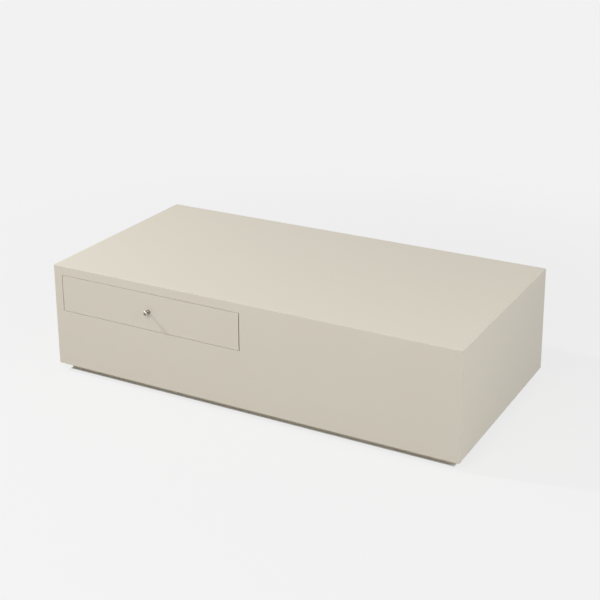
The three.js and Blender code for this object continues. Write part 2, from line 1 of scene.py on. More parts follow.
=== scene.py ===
# %% [markdown]
# A low coffee table in cream satin lacquer. It is a plain long box on a plinth that is set back all round,
# with one flush drawer in the upper left of its front and a small metal knob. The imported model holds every
# board, runner and screw at its real size. This lesson gives those pieces their edges and their finishes,
# and makes the few that need a finer form. Everything is in metres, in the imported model's own frame.

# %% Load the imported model
import json
import math

import bmesh
import bpy
from mathutils import Matrix, Vector

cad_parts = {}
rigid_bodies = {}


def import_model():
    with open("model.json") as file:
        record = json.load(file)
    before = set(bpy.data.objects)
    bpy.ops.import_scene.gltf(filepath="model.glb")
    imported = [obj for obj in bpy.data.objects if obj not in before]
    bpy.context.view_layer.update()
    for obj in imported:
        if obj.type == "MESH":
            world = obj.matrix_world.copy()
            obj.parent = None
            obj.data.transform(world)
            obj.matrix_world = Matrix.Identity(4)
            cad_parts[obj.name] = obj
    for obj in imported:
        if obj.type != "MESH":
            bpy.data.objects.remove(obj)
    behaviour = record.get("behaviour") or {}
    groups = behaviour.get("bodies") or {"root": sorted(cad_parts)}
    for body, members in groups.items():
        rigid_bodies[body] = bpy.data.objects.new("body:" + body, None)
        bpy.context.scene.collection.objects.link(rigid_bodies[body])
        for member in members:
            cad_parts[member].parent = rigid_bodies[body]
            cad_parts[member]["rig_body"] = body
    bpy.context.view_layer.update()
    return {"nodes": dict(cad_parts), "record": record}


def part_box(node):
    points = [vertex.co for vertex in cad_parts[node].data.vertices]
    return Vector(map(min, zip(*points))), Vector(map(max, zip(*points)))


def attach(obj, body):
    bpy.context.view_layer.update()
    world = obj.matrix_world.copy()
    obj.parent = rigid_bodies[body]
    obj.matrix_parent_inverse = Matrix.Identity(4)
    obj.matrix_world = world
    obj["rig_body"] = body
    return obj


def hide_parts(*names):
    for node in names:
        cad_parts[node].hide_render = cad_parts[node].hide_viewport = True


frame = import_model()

MM = 0.001

# %% [markdown]
# The camera stands to the right of the table's front and looks down on it. Its place comes from the table's
# own edges in the photograph: where the long edges meet, how fast they shrink and how tall the near corner
# is. The upright edges hardly lean, so the lens is shifted a little, as a furniture photographer does to
# keep them upright. Azimuth, elevation and roll are easier to read than a matrix, so the camera is turned
# from them. Its lens and its sensor are in millimetres, as on a real camera.

# %% Camera
CAMERA_PLACE = Vector((1.5771, -2.8405, 1.5631))
CAMERA_AZIMUTH = math.radians(28.851)
CAMERA_ELEVATION = math.radians(17.098)
CAMERA_ROLL = math.radians(-0.355)
CAMERA_LENS = 76.68
SENSOR_WIDTH = 36
CAMERA_SHIFT_SHARE = -0.2
FARTHEST_SEEN = 100


def camera_turn(azimuth, elevation, roll):
    level = math.cos(elevation)
    back = Vector((math.sin(azimuth) * level, -math.cos(azimuth) * level, math.sin(elevation)))
    right = Vector((0, 0, 1)).cross(back).normalized()
    up = back.cross(right)
    tilted_right = math.cos(roll) * right + math.sin(roll) * up
    tilted_up = -math.sin(roll) * right + math.cos(roll) * up
    return Matrix((tilted_right, tilted_up, back)).transposed()


camera = bpy.data.objects.new("camera", bpy.data.cameras.new("camera"))
bpy.context.scene.collection.objects.link(camera)
turn = camera_turn(CAMERA_AZIMUTH, CAMERA_ELEVATION, CAMERA_ROLL)
camera.matrix_world = Matrix.Translation(CAMERA_PLACE) @ turn.to_4x4()
camera.data.sensor_width = SENSOR_WIDTH
camera.data.lens = CAMERA_LENS
camera.data.shift_y = CAMERA_SHIFT_SHARE
camera.data.clip_end = FARTHEST_SEEN
bpy.context.scene.camera = camera
bpy.context.scene.view_settings.view_transform = "Standard"
print("camera is", round(CAMERA_PLACE.length, 2), "m from the middle of the floor print")

# %% [markdown]
# Colours are written as they look on a screen, in sRGB hex, but the renderer adds and multiplies light, so
# it needs linear values. One function turns a hex into those, with the standard's own numbers. A second one
# adds a node to a material: it takes the kind of node, its settings and what is plugged into it, so a
# material reads as a short list from pattern to shader. A socket goes by its name, or by its number where
# several share a name. The Mix node's colour sockets are such, so their numbers get names here.

# %% Colour and node helpers
MIX_SHARE = 0
FIRST_COLOUR = 6
SECOND_COLOUR = 7
MIXED_COLOUR = 2


def linear(hex_code):
    channels = [int(hex_code[i:i + 2], 16) / 255 for i in (0, 2, 4)]
    light = [c / 12.92 if c <= 0.04045 else ((c + 0.055) / 1.055) ** 2.4 for c in channels]
    return (*light, 1.0)


def add_node(tree, kind, settings=None, links=None):
    node = tree.nodes.new(kind)
    for name, value in (settings or {}).items():
        if isinstance(name, int) or name in node.inputs:
            node.inputs[name].default_value = value
        else:
            setattr(node, name, value)
    for name, socket in (links or {}).items():
        tree.links.new(socket, node.inputs[name])
    return node


def new_material(name):
    material = bpy.data.materials.new(name)
    material.use_nodes = True
    tree = material.node_tree
    tree.nodes.clear()
    return material, tree, add_node(tree, "ShaderNodeTexCoord").outputs["Object"]


print("the grey F2F2F2 is", round(linear("F2F2F2")[0], 3), "in linear light")

# %% [markdown]
# The studio is a pale floor in an even white surround. Rays that come from the camera, straight, by a
# mirror or through glass, meet the plain background colour, while the rest of the light comes at its own
# level. So the ground can be pale without washing out the lacquer.

# %% Surround
BACKGROUND = "F2F2F2"
SURROUND_STRENGTH = 0.33


def seeing_rays(tree):
    rays = add_node(tree, "ShaderNodeLightPath")
    mirrored = add_node(tree, "ShaderNodeMath", {"operation": "MAXIMUM"}, {
        0: rays.outputs["Is Glossy Ray"],
        1: rays.outputs["Is Transmission Ray"],
    })
    seeing = add_node(tree, "ShaderNodeMath", {"operation": "MAXIMUM"}, {
        0: rays.outputs["Is Camera Ray"],
        1: mirrored.outputs[0],
    })
    return seeing.outputs[0]


world = bpy.data.worlds.new("studio")
bpy.context.scene.world = world
world.use_nodes = True
sky = world.node_tree
sky.nodes.clear()
light = add_node(sky, "ShaderNodeBackground", {"Color": (1, 1, 1, 1), "Strength": SURROUND_STRENGTH})
seen = add_node(sky, "ShaderNodeBackground", {"Color": linear(BACKGROUND), "Strength": 1.0})
mixed = add_node(sky, "ShaderNodeMixShader",
                 links={0: seeing_rays(sky), 1: light.outputs[0], 2: seen.outputs[0]})
add_node(sky, "ShaderNodeOutputWorld", links={"Surface": mixed.outputs[0]})
print("surround strength", SURROUND_STRENGTH)

# %% [markdown]
# The floor is a plain pale sheet. It shows about a seventh of its own shading, and less with the distance,
# so the table keeps its shadow on a ground that stays even. The table stands at the origin, so a place's
# distance from it is the length of its own coordinates.

# %% Floor shading
SHADING_SHARE = 0.15
FADE_FROM = 0.9
FADE_TO = 2.2

floor_material, tree, floor_place = new_material("pale_studio_floor")
distance = add_node(tree, "ShaderNodeVectorMath", {"operation": "LENGTH"}, {0: floor_place})
fade = add_node(tree, "ShaderNodeMapRange", {
    "interpolation_type": "SMOOTHSTEP",
    "From Min": FADE_FROM,
    "From Max": FADE_TO,
    "To Min": 1 - SHADING_SHARE,
    "To Max": 1.0,
}, {"Value": distance.outputs["Value"]})
print("the floor's shading ends", FADE_TO, "m from the middle")

# %% [markdown]
# Under the plinth and just round it the floor shows all of its shading, because the photograph has a dark
# line there. A place on the floor is measured from the middle of the plinth's print and divided by half the
# print's size, so it is outside where X or Y comes to more than 1.

# %% Dark line under the plinth
DARK_MARGIN = 5 * MM
plinth_low, plinth_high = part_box("plinth_front_rail")
plinth_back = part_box("plinth_back_rail")[1].y
print_middle = (0.0, (plinth_back + plinth_low.y) / 2, 0.0)
half_print = (plinth_high.x + DARK_MARGIN, (plinth_back - plinth_low.y) / 2 + DARK_MARGIN, 1.0)
from_middle = add_node(tree, "ShaderNodeVectorMath", {"operation": "SUBTRACT", 1: print_middle},
                       {0: floor_place})
to_side = add_node(tree, "ShaderNodeVectorMath", {"operation": "ABSOLUTE"},
                   {0: from_middle.outputs["Vector"]})
in_print = add_node(tree, "ShaderNodeVectorMath", {"operation": "DIVIDE", 1: half_print},
                    {0: to_side.outputs["Vector"]})
sides = add_node(tree, "ShaderNodeSeparateXYZ", links={"Vector": in_print.outputs["Vector"]})
farthest = add_node(tree, "ShaderNodeMath", {"operation": "MAXIMUM"},
                    {0: sides.outputs["X"], 1: sides.outputs["Y"]})
outside = add_node(tree, "ShaderNodeMath", {"operation": "GREATER_THAN", 1: 1.0}, {0: farthest.outputs[0]})
evenness = add_node(tree, "ShaderNodeMath", {"operation": "MULTIPLY"},
                    {0: fade.outputs["Result"], 1: outside.outputs[0]})
print("half of the dark print:", [round(v, 3) for v in half_print[:2]])

# %% [markdown]
# What the eye sees of the floor is its shaded colour, with an even glow of the background colour laid over
# it. What the floor throws back at the table is a mid grey: in the photograph the walls grow a little
# darker towards the ground, and a pale floor would light them from below.

# %% Floor colours
BOUNCE_TONE = "BEBEBE"
shaded = add_node(tree, "ShaderNodeBsdfDiffuse", {"Color": linear(BACKGROUND)})
even = add_node(tree, "ShaderNodeEmission", {"Color": linear(BACKGROUND), "Strength": 1.0})
seen_floor = add_node(tree, "ShaderNodeMixShader", links={
    0: evenness.outputs[0],
    1: shaded.outputs[0],
    2: even.outputs[0],
})
bounce = add_node(tree, "ShaderNodeBsdfDiffuse", {"Color": linear(BOUNCE_TONE)})
mixed = add_node(tree, "ShaderNodeMixShader", links={
    0: seeing_rays(tree),
    1: bounce.outputs[0],
    2: seen_floor.outputs[0],
})
add_node(tree, "ShaderNodeOutputMaterial", links={"Surface": mixed.outputs[0]})
print("floor material:", len(tree.nodes), "nodes")

# %% [markdown]
# The sheet itself is one square, made far wider than the camera sees, so its edge shows in no view.

# %% Floor sheet
FLOOR_HALF = 9.0
bm = bmesh.new()
bmesh.ops.create_grid(bm, x_segments=1, y_segments=1, size=FLOOR_HALF)
floor_mesh = bpy.data.meshes.new("studio_floor")
bm.to_mesh(floor_mesh)
bm.free()
floor_mesh.materials.append(floor_material)
floor = bpy.data.objects.new("studio_floor", floor_mesh)
bpy.context.scene.collection.objects.link(floor)
print("floor half width", FLOOR_HALF, "m")

# %% [markdown]
# The lamps. The key stands high at the left and is small enough for the knob to throw the faint slanting
# shadow that the photograph has. A broad lamp in front and another at the right lift the two walls that the
# camera sees. Their levels come from a fit: the scene was rendered under one light at a time, and the mix
# was solved for the brightness of the three faces.
#
# The lamp at the right is kept out of reflections. It is so wide that it would wrap the knob's rim in a
# bright crescent, and the photograph shows one small spark there.

# %% Lamps
TABLE_MIDDLE = Vector((0.0, 0.0, 0.15))
LAMPS = {
    "key_left": {"place": (-2.92, -1.06, 2.67), "size": 0.32, "power": 73},
    "soft_front": {"place": (0.0, -2.62, 1.99), "size": 1.6, "power": 29},
    "fill_right": {"place": (2.63, -0.7, 1.42), "size": 2.4, "power": 30},
}


def soft_lamp(name, place, size, power):
    lamp = bpy.data.lights.new(name, "AREA")
    lamp.shape = "DISK"
    lamp.size = size
    lamp.energy = power
    holder = bpy.data.objects.new(name, lamp)
    holder.location = place
    holder.rotation_mode = "QUATERNION"
    holder.rotation_quaternion = (TABLE_MIDDLE - Vector(place)).to_track_quat("-Z", "Y")
    bpy.context.scene.collection.objects.link(holder)
    return holder


lamps = {name: soft_lamp(name, **lamp) for name, lamp in LAMPS.items()}
lamps["fill_right"].visible_glossy = False
print("lamps:", list(lamps))

# %% [markdown]
# Two-pack satin lacquer on fibreboard. It is sprayed in several coats and flatted between them, so it hides
# every joint and has no grain. What is left for the eye is a soft sheen with a very slight orange peel,
# ripples a few millimetres across, and clouds where the film dried a shade flatter. Polyurethane lacquer
# has an IOR of about 1.5. The ripples are far too shallow to show at this distance, so they only bend the
# highlights a little. One helper makes such clouds, a noise of a real width that mixes two near tones. A
# noise keeps mostly between 0.3 and 0.7, so what follows it is spread over that range.

# %% Satin lacquer
NOISE_LOW_SHARE = 0.3
NOISE_HIGH_SHARE = 0.7
CLOUD_WIDTH = 220 * MM
PEEL_WIDTH = 3.0 * MM
PEEL_DEPTH = 0.012 * MM
NIB_WIDTH = 0.8 * MM
NIB_DEPTH = 0.006 * MM


def clouded(tree, place, width, dark, pale, detail=3.0):
    clouds = add_node(tree, "ShaderNodeTexNoise", {"Scale": 1 / width, "Detail": detail}, {"Vector": place})
    tint = add_node(tree, "ShaderNodeMix", {
        "data_type": "RGBA",
        FIRST_COLOUR: linear(dark),
        SECOND_COLOUR: linear(pale),
    }, {MIX_SHARE: clouds.outputs["Fac"]})
    return clouds.outputs["Fac"], tint.outputs[MIXED_COLOUR]


def satin_lacquer(name, dark, pale):
    material, tree, place = new_material(name)
    clouds, tint = clouded(tree, place, CLOUD_WIDTH, dark, pale)
    sheen = add_node(tree, "ShaderNodeMapRange", {
        "From Min": NOISE_LOW_SHARE,
        "From Max": NOISE_HIGH_SHARE,
        "To Min": 0.36,
        "To Max": 0.44,
    }, {"Value": clouds})
    peel = add_node(tree, "ShaderNodeTexNoise", {"Scale": 1 / PEEL_WIDTH, "Detail": 1.0}, {"Vector": place})
    nibs = add_node(tree, "ShaderNodeTexNoise", {"Scale": 1 / NIB_WIDTH, "Detail": 2.0}, {"Vector": place})
    peel_bump = add_node(tree, "ShaderNodeBump", {"Strength": 0.25, "Distance": PEEL_DEPTH},
                         {"Height": peel.outputs["Fac"]})
    bump = add_node(tree, "ShaderNodeBump", {"Strength": 0.15, "Distance": NIB_DEPTH},
                    {"Height": nibs.outputs["Fac"], "Normal": peel_bump.outputs["Normal"]})
    surface = add_node(tree, "ShaderNodeBsdfPrincipled", {"IOR": 1.5}, {
        "Base Color": tint,
        "Roughness": sheen.outputs["Result"],
        "Normal": bump.outputs["Normal"],
    })
    add_node(tree, "ShaderNodeOutputMaterial", links={"Surface": surface.outputs["BSDF"]})
    return material


cream_lacquer = satin_lacquer("cream_satin_lacquer", "DAD2C2", "DDD6C7")
# The plinth's lacquer is the cream made a shade darker: this is painted shade for the recess under the case's
# overhang.
plinth_lacquer = satin_lacquer("mushroom_satin_lacquer", "D0C5AE", "D3C9B3")
print("made", cream_lacquer.name, "and", plinth_lacquer.name)

# %% [markdown]
# Lacquer drifts in round the drawer's opening while the case is sprayed, so the cream runs on over the bare
# board inside for a few centimetres and thins out. The drift is worked out from the distance behind the
# front, with noise on its edge, and laid over whatever colour the board has.

# %% Lacquer drift
DRIFT_REACH = 28 * MM
DRIFT_TONE = "D8D0BE"


def with_drift(tree, place, noise, colour, drift_from):
    axes = add_node(tree, "ShaderNodeSeparateXYZ", links={"Vector": place})
    edge = add_node(tree, "ShaderNodeMath", {"operation": "MULTIPLY_ADD", 1: DRIFT_REACH},
                    {0: noise, 2: axes.outputs["Y"]})
    drift = add_node(tree, "ShaderNodeMapRange", {
        "From Min": drift_from,
        "From Max": drift_from + DRIFT_REACH,
        "To Min": 1.0,
        "To Max": 0.0,
    }, {"Value": edge.outputs[0]})
    coated = add_node(tree, "ShaderNodeMix", {"data_type": "RGBA", SECOND_COLOUR: linear(DRIFT_TONE)},
                      {MIX_SHARE: drift.outputs["Result"], FIRST_COLOUR: colour})
    return coated.outputs[MIXED_COLOUR]


print("drift reaches", round(DRIFT_REACH / MM), "mm")

# %% [markdown]
# Bare fibreboard shows inside the case, where nobody sprays. It is fine wood fibre pressed with resin: an
# even tan, with short darker fibres a millimetre or two long and a dry, matt surface. The fibres are a
# noise drawn out along the table, made by a helper that grain and rolled strip use too, and a wider noise
# makes faint patches.

# %% Fibreboard
FIBRE_LENGTH = 1.6 * MM
FIBRE_STRETCH = (1.0, 2.5, 2.5)
FIBRE_DEPTH = 0.05 * MM
FIBRE_TONES = ((NOISE_LOW_SHARE, "A98A62"), (NOISE_HIGH_SHARE, "C8AB82"))
PATCHES_PER_METRE = 14.0
PATCH_SHARE = 0.12


def drawn_noise(tree, place, way, noise):
    drawn = add_node(tree, "ShaderNodeMapping", way, {"Vector": place})
    return add_node(tree, "ShaderNodeTexNoise", noise, {"Vector": drawn.outputs["Vector"]}).outputs["Fac"]


def fibreboard(name, drift_from=None):
    material, tree, place = new_material(name)
    fibres = drawn_noise(tree, place, {"Scale": FIBRE_STRETCH}, {"Scale": 1 / FIBRE_LENGTH, "Detail": 3.0})
    patches = add_node(tree, "ShaderNodeTexNoise", {"Scale": PATCHES_PER_METRE, "Detail": 2.0},
                       {"Vector": place})
    tan = add_node(tree, "ShaderNodeValToRGB", links={"Fac": fibres})
    for stop, (share, tone) in zip(tan.color_ramp.elements, FIBRE_TONES):
        stop.position = share
        stop.color = linear(tone)
    patched = add_node(tree, "ShaderNodeMix", {
        "data_type": "RGBA",
        "blend_type": "MULTIPLY",
        MIX_SHARE: PATCH_SHARE,
    }, {FIRST_COLOUR: tan.outputs["Color"], SECOND_COLOUR: patches.outputs["Color"]})
    colour = patched.outputs[MIXED_COLOUR]
    if drift_from is not None:
        colour = with_drift(tree, place, patches.outputs["Fac"], colour, drift_from)
    bump = add_node(tree, "ShaderNodeBump", {"Strength": 0.3, "Distance": FIBRE_DEPTH}, {"Height": fibres})
    surface = add_node(tree, "ShaderNodeBsdfPrincipled", {"IOR": 1.45, "Roughness": 0.85},
                       {"Base Color": colour, "Normal": bump.outputs["Normal"]})
    add_node(tree, "ShaderNodeOutputMaterial", links={"Surface": surface.outputs["BSDF"]})
    return material


front_low, front_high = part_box("front_panel")
bare_board = fibreboard("bare_fibreboard")
drifted_board = fibreboard("fibreboard_with_lacquer_drift", front_high.y)
print("made", bare_board.name, "and", drifted_board.name)

# %% [markdown]
# The drawer box is birch under a thin clear lacquer. Birch is pale and fine. Its grain is a set of faint
# long streaks along each board, with short dark pores in them. The streaks set the colour, and the highest
# values of a finer noise are the pores. X, Y and Z stand for the axes' numbers.

# %% Birch grain
X, Y, Z = 0, 1, 2
GRAIN_WIDTH = 3.5 * MM
GRAIN_RUN = 160 * MM
GRAIN_TONES = ((NOISE_LOW_SHARE, "CDA877"), (NOISE_HIGH_SHARE, "E4C89C"))
PORE_WIDTH = 0.5 * MM
PORE_RUN = 9 * MM
PORE_TONE = "A67C4E"


def drawn_out(width, run, axis):
    scale = [1 / width] * 3
    scale[axis] = 1 / run
    return scale


def long_grain(tree, place, axis, shift):
    grain_way = {"Scale": drawn_out(GRAIN_WIDTH, GRAIN_RUN, axis), "Location": (shift, shift, shift)}
    pore_way = {"Scale": drawn_out(PORE_WIDTH, PORE_RUN, axis)}
    streaks = drawn_noise(tree, place, grain_way, {"Scale": 1.0, "Detail": 4.0, "Distortion": 0.4})
    pores = drawn_noise(tree, place, pore_way, {"Scale": 1.0, "Detail": 1.0})
    wood = add_node(tree, "ShaderNodeValToRGB", links={"Fac": streaks})
    for stop, (share, tone) in zip(wood.color_ramp.elements, GRAIN_TONES):
        stop.position = share
        stop.color = linear(tone)
    pore_dark = add_node(tree, "ShaderNodeMapRange",
                         {"From Min": 0.58, "From Max": 0.72, "To Min": 0.0, "To Max": 0.35},
                         {"Value": pores})
    colour = add_node(tree, "ShaderNodeMix", {"data_type": "RGBA", SECOND_COLOUR: linear(PORE_TONE)},
                      {MIX_SHARE: pore_dark.outputs["Result"], FIRST_COLOUR: wood.outputs["Color"]})
    return streaks, pores, colour.outputs[MIXED_COLOUR]


print("grain is drawn out", round(GRAIN_RUN / GRAIN_WIDTH), "times")

# %% [markdown]
# Where a board is cut across, its end looks darker and shows its rings. Far from the tree's heart they are
# nearly straight, so bands are near enough, drawn out upwards and made uneven. A wave pattern repeats about
# every third of a unit, which gives its scale from the width of a ring.

# %% Birch end grain
RING_WIDTH = 2.2 * MM
RING_HEIGHT_SHARE = 0.35
WAVE_SHARE = 0.3
END_TONES = ("9E7648", "C39C68")


def end_grain(tree, place):
    way = add_node(tree, "ShaderNodeMapping", {"Scale": (1.0, 1.0, RING_HEIGHT_SHARE)}, {"Vector": place})
    rings = add_node(tree, "ShaderNodeTexWave", {
        "wave_type": "BANDS",
        "bands_direction": "DIAGONAL",
        "Scale": WAVE_SHARE / RING_WIDTH,
        "Distortion": 2.5,
        "Detail": 2.0,
    }, {"Vector": way.outputs["Vector"]})
    wood = add_node(tree, "ShaderNodeValToRGB", links={"Fac": rings.outputs["Fac"]})
    for stop, tone in zip(wood.color_ramp.elements, END_TONES):
        stop.color = linear(tone)
    return wood.outputs["Color"]


print("rings are", round(RING_WIDTH / MM, 1), "mm apart")

# %% [markdown]
# Dovetails show long grain and end grain side by side, which is how the eye reads them. So one function
# makes the wood for a board that runs along X or along Y, and turns to end grain where the surface faces
# along the board. The two woods start at different places in the pattern, so they don't match where they
# meet.

# %% Birch boards
END_FACING_SHARE = 0.75
PORE_DEPTH = 0.04 * MM
ACROSS_SHIFT = 3.0
DEEP_SHIFT = 11.0


def birch(name, axis, shift):
    material, tree, place = new_material(name)
    streaks, pores, face_colour = long_grain(tree, place, axis, shift)
    facing = add_node(tree, "ShaderNodeSeparateXYZ", links={"Vector": place.node.outputs["Normal"]})
    along_board = add_node(tree, "ShaderNodeMath", {"operation": "ABSOLUTE"}, {0: facing.outputs[axis]})
    is_end = add_node(tree, "ShaderNodeMath", {"operation": "GREATER_THAN", 1: END_FACING_SHARE},
                      {0: along_board.outputs[0]})
    colour = add_node(tree, "ShaderNodeMix", {"data_type": "RGBA"}, {
        MIX_SHARE: is_end.outputs[0],
        FIRST_COLOUR: face_colour,
        SECOND_COLOUR: end_grain(tree, place),
    })
    gloss = add_node(tree, "ShaderNodeMapRange", {"To Min": 0.38, "To Max": 0.5}, {"Value": streaks})
    bump = add_node(tree, "ShaderNodeBump", {"Strength": 0.25, "Distance": PORE_DEPTH}, {"Height": pores})
    surface = add_node(tree, "ShaderNodeBsdfPrincipled", {"IOR": 1.5}, {
        "Base Color": colour.outputs[MIXED_COLOUR],
        "Roughness": gloss.outputs["Result"],
        "Normal": bump.outputs["Normal"],
    })
    add_node(tree, "ShaderNodeOutputMaterial", links={"Surface": surface.outputs["BSDF"]})
    return material


birch_across = birch("clear_lacquered_birch_across", X, ACROSS_SHIFT)
birch_deep = birch("clear_lacquered_birch_front_to_back", Y, DEEP_SHIFT)
print("made", birch_across.name, "and", birch_deep.name)

# %% [markdown]
# The metals. Runners are cold-rolled strip steel with a bright zinc plate: pale grey with a cool cast,
# satin, and drawn out along the strip where the rolls ran. Screws carry the same plate on turned steel, so
# theirs is finer. The knob is solid brass, turned, polished, nickel plated and smoked: a dark warm mirror
# with faint rings left by the lathe. The balls are ground and polished chrome steel. A metal has no colour
# of its own under its reflections, so what sets these apart is their tint and how sharp they mirror.

# %% Metals
ROLL_WIDTH = 0.35 * MM
ROLL_RUN = 60 * MM
ROLL_DEPTH = 0.004 * MM
TURNED_DEPTH = 0.002 * MM
POLISHED_DEPTH = 0.0004 * MM
SPANGLE_WIDTH = 4 * MM
SMOOTHEST_SHARE = 0.8
ROUGHEST_SHARE = 1.25


def metal(name, dark, pale, stretch, depth, rough):
    material, tree, place = new_material(name)
    tint = clouded(tree, place, SPANGLE_WIDTH, dark, pale)[1]
    lines = drawn_noise(tree, place, {"Scale": stretch}, {"Scale": 1.0, "Detail": 2.0})
    gloss = add_node(tree, "ShaderNodeMapRange", {
        "From Min": NOISE_LOW_SHARE,
        "From Max": NOISE_HIGH_SHARE,
        "To Min": rough * SMOOTHEST_SHARE,
        "To Max": rough * ROUGHEST_SHARE,
    }, {"Value": lines})
    bump = add_node(tree, "ShaderNodeBump", {"Strength": 0.3, "Distance": depth}, {"Height": lines})
    surface = add_node(tree, "ShaderNodeBsdfPrincipled", {"Metallic": 1.0}, {
        "Base Color": tint,
        "Roughness": gloss.outputs["Result"],
        "Normal": bump.outputs["Normal"],
    })
    add_node(tree, "ShaderNodeOutputMaterial", links={"Surface": surface.outputs["BSDF"]})
    return material


even_grain = (1 / ROLL_WIDTH,) * 3
rolled_grain = drawn_out(ROLL_WIDTH, ROLL_RUN, Y)
zinc_strip = metal("zinc_plated_strip_steel", "B9BDC0", "CED1D2", rolled_grain, ROLL_DEPTH, rough=0.34)
zinc_screw = metal("zinc_plated_turned_steel", "B4B4AE", "C8C8C2", even_grain, TURNED_DEPTH, rough=0.28)
ball_steel = metal("polished_ball_steel", "A9ACB0", "B4B7BA", even_grain, 0.0, rough=0.07)
cage_steel = metal("plain_cage_steel", "9A9C9D", "A8AAAB", rolled_grain, ROLL_DEPTH, rough=0.4)
nickel = metal("smoked_nickel_plate", "87827A", "918C83", even_grain, POLISHED_DEPTH, rough=0.13)
print("made", [m.name for m in (zinc_strip, zinc_screw, ball_steel, cage_steel, nickel)])

# %% [markdown]
# Two small finishes are left. The release levers are moulded acetal, black and slightly waxy with a fine
# spark-eroded texture. The glides are pads of pressed wool felt, grey-brown, with fibres that stand up a
# little and catch the light at the rim, which is what sheen is for.

# %% Lever plastic and felt
SPARK_GRAIN = 0.25 * MM
SPARK_DEPTH = 0.02 * MM
FELT_FIBRE = 0.6 * MM
FELT_DEPTH = 0.2 * MM


def grained(name, dark, pale, width, depth, rough, sheen):
    material, tree, place = new_material(name)
    grain, tint = clouded(tree, place, width, dark, pale, detail=4.0)
    bump = add_node(tree, "ShaderNodeBump", {"Strength": 0.5, "Distance": depth}, {"Height": grain})
    surface = add_node(tree, "ShaderNodeBsdfPrincipled", {"Roughness": rough, "Sheen Weight": sheen},
                       {"Base Color": tint, "Normal": bump.outputs["Normal"]})
    add_node(tree, "ShaderNodeOutputMaterial", links={"Surface": surface.outputs["BSDF"]})
    return material


black_acetal = grained("black_moulded_acetal", "161718", "232425", SPARK_GRAIN, SPARK_DEPTH,
                       rough=0.5, sheen=0.0)
wool_felt = grained("pressed_wool_felt", "5E574B", "857C6D", FELT_FIBRE, FELT_DEPTH, rough=0.95, sheen=0.4)
print("made", black_acetal.name, "and", wool_felt.name)

# %% [markdown]
# Every piece ends the same way: its mesh goes into an object at the origin, gets its finishes, rides on the
# body that carries it, and stands for the nodes that it replaces.
# Faces are smooth-shaded, with a crease where two meet at more than 30 degrees, and weighted normals keep
# the large flat faces flat beside their small rounded edges.

# %% Finish a piece
CREASE = math.radians(30)


def finish_piece(name, bm, body, finishes, replaced=()):
    mesh = bpy.data.meshes.new(name)
    bm.to_mesh(mesh)
    bm.free()
    mesh.shade_smooth()
    mesh.set_sharp_from_angle(angle=CREASE)
    for finish in finishes:
        mesh.materials.append(finish)
    piece = bpy.data.objects.new(name, mesh)
    bpy.context.scene.collection.objects.link(piece)
    weighted = piece.modifiers.new("flat_faces_stay_flat", "WEIGHTED_NORMAL")
    weighted.keep_sharp = True
    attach(piece, body)
    if replaced:
        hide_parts(*replaced)
    return piece


print("crease angle", round(math.degrees(CREASE)), "degrees")

# %% [markdown]
# The case is five panels glued with mitres and butts, filled, sanded and sprayed as one, so no joint shows
# from outside, and one piece stands for all five. Its walls lie between an outer and an inner box, and the
# bay is where the drawer's opening goes through the front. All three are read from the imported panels, so
# the piece takes exactly their place.

# %% Case sizes
top_low, top_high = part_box("top_panel")
left_low, left_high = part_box("left_end_panel")
right_low, right_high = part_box("right_end_panel")
back_low, back_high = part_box("back_panel")
partition_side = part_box("drawer_partition")[0].x
shelf_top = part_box("drawer_shelf")[1].z
outer_low = Vector((left_low.x, front_low.y, front_low.z))
outer_high = Vector((right_high.x, back_high.y, top_high.z))
inner_low = Vector((left_high.x, front_high.y, front_low.z))
inner_high = Vector((right_low.x, back_low.y, top_low.z))
bay_low = Vector((left_high.x, front_low.y, shelf_top))
bay_high = Vector((partition_side, front_high.y, top_low.z))
print("bay is", round((bay_high.x - bay_low.x) / MM), "by", round((bay_high.z - bay_low.z) / MM), "mm")

# %% [markdown]
# The walls start as two boxes without a floor, one in the other, and a bridge between their rims makes the
# panels' lower edges. A boolean could then take the opening out, but it leaves long thin triangles that
# catch the light, so the front's two skins are cut along the opening's four lines.

# %% Case walls
HAIR = 0.01 * MM


def cube_between(bm, low, high):
    middle = (low + high) / 2
    matrix = Matrix.Translation(middle) @ Matrix.Diagonal(high - low).to_4x4()
    return bmesh.ops.create_cube(bm, size=1, matrix=matrix)["verts"]


def lies_on(element, axis, value):
    return all(abs(v.co[axis] - value) < HAIR for v in element.verts)


def cut_front(bm, axis, value):
    for depth in (outer_low.y, inner_low.y):
        skins = [f for f in bm.faces if lies_on(f, Y, depth)]
        geometry = dict.fromkeys(part for face in skins for part in (face, *face.edges, *face.verts))
        normal = Vector((0, 0, 0))
        normal[axis] = 1
        bmesh.ops.bisect_plane(bm, geom=list(geometry), dist=HAIR, plane_co=normal * value, plane_no=normal)


case_bm = bmesh.new()
cube_between(case_bm, outer_low, outer_high)
inner_verts = cube_between(case_bm, inner_low, inner_high)
bmesh.ops.reverse_faces(case_bm, faces=list({f for v in inner_verts for f in v.link_faces}))
floors = [f for f in case_bm.faces if lies_on(f, Z, outer_low.z)]
bmesh.ops.delete(case_bm, geom=floors, context="FACES")
bmesh.ops.bridge_loops(case_bm, edges=[e for e in case_bm.edges if e.is_boundary])
for axis in (X, Z):
    for value in (bay_low[axis], bay_high[axis]):
        cut_front(case_bm, axis, value)
print("case walls:", len(case_bm.faces), "faces")

# %% [markdown]
# The real front panel is one L-shaped board, and the opening lies between it, the top and the left end.
# Here the cells between the four cuts go from both skins, and a bridge from one hole to the other makes the
# opening's edges.

# %% Drawer opening
def within(place, low, high, axes):
    return all(low[axis] - HAIR < place[axis] < high[axis] + HAIR for axis in axes)


def in_bay(place):
    return within(place, bay_low, bay_high, (X, Z))


